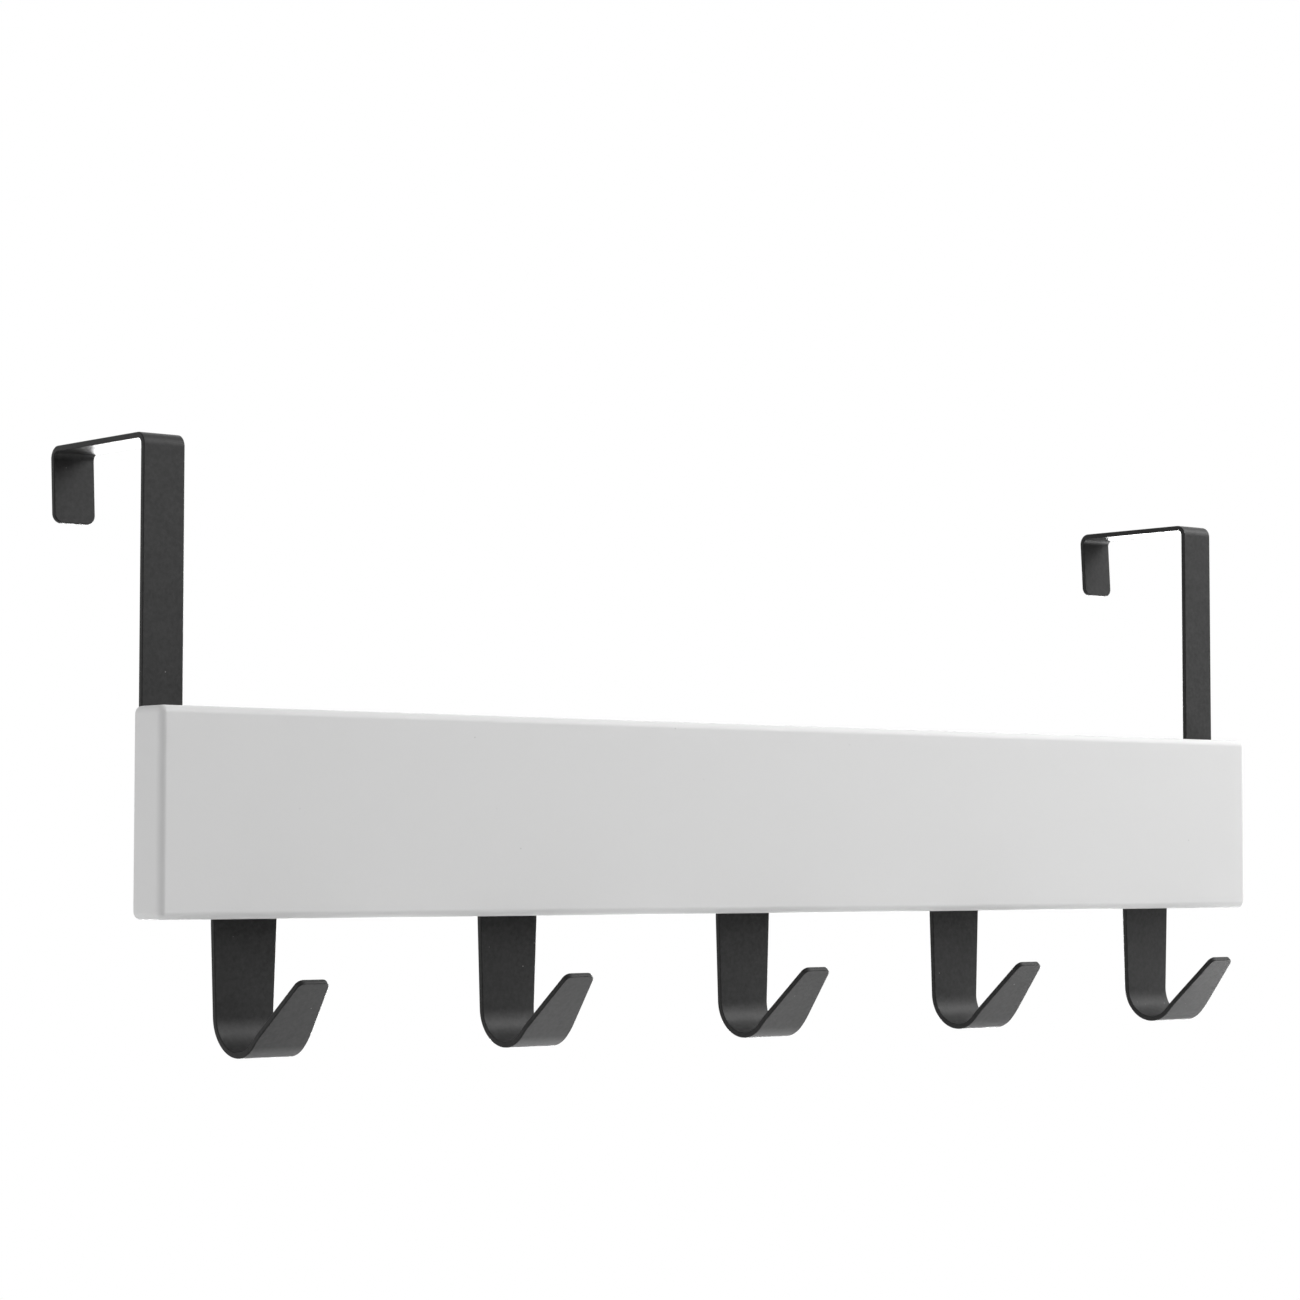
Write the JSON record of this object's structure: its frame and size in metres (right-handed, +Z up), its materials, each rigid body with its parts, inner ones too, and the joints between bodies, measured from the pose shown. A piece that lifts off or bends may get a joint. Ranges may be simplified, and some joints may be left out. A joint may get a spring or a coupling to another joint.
{
  "type": "over door hook rail",
  "caption": "Painted rail board that hangs over the top of a door on bent flat steel straps and carries a row of tapered flat steel coat hooks.",
  "frame": {"origin": "midway between the two brackets, on the door's top edge, in the plane of its near face", "axes": "+X along the board to the right as seen from the front, +Y through the door to its far side, +Z up"},
  "size_m": [0.4, 0.0759, 0.1553],
  "materials": {
    "board_paint": "fibreboard with smooth satin pale grey paint",
    "black_coat": "satin black powder coat with a fine texture on flat steel",
    "screw_steel": "bright zinc-plated steel"
  },
  "bodies": {
    "root": {"board": "board_paint", "bracket_left": "black_coat", "bracket_right": "black_coat", "hook_1": "black_coat", "hook_2": "black_coat", "hook_3": "black_coat", "hook_4": "black_coat", "hook_5": "black_coat", "screws": "screw_steel"}
  },
  "joints": []
}
